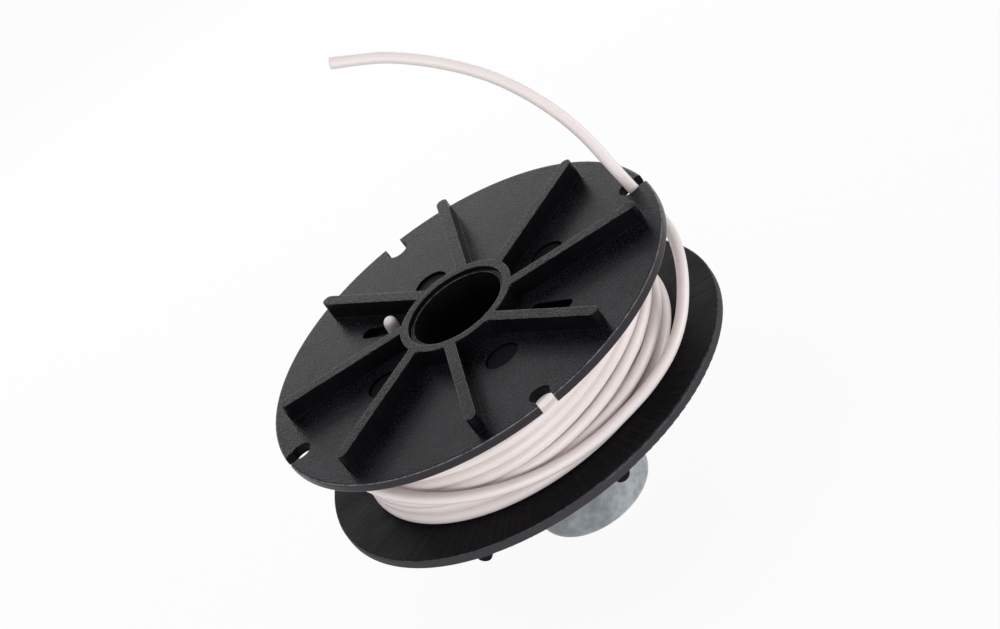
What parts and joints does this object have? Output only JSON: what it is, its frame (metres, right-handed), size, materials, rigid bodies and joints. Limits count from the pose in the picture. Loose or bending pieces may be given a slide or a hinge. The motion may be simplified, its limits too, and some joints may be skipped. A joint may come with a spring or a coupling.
{
  "type": "grass trimmer line spool",
  "caption": "Two-flange plastic spool wound with nylon cutting line for a bump-feed grass trimmer head, with a ribbed drive face and a turning steel glide cap.",
  "frame": {"origin": "on the spindle axis, at the lowest point of the glide cap", "axes": "+Z along the spindle axis out of the ribbed face, +X through the notch that the line leaves by, +Y to complete a right-handed frame"},
  "size_m": [0.074, 0.074, 0.0833],
  "materials": {
    "black_plastic": "satin moulded black",
    "zinc_steel": "dull mottled zinc plating",
    "bright_steel": "turned",
    "nylon_line": "satin natural nylon"
  },
  "bodies": {
    "reel": {"upper_flange": "black_plastic", "lower_flange": "black_plastic", "line_core": "nylon_line", "line_winding": "nylon_line", "line_free_end": "nylon_line", "line_inner_end": "nylon_line"},
    "glide_button": {"glide_cap": "zinc_steel", "cap_stud": "bright_steel", "thrust_washer": "bright_steel", "push_on_washer": "bright_steel"}
  },
  "joints": [
    {"name": "cap_spin", "type": "hinge", "parent": "reel", "child": "glide_button", "pos_m": [0, 0, 0], "axis": [0, 0, 1], "continuous": true}
  ]
}
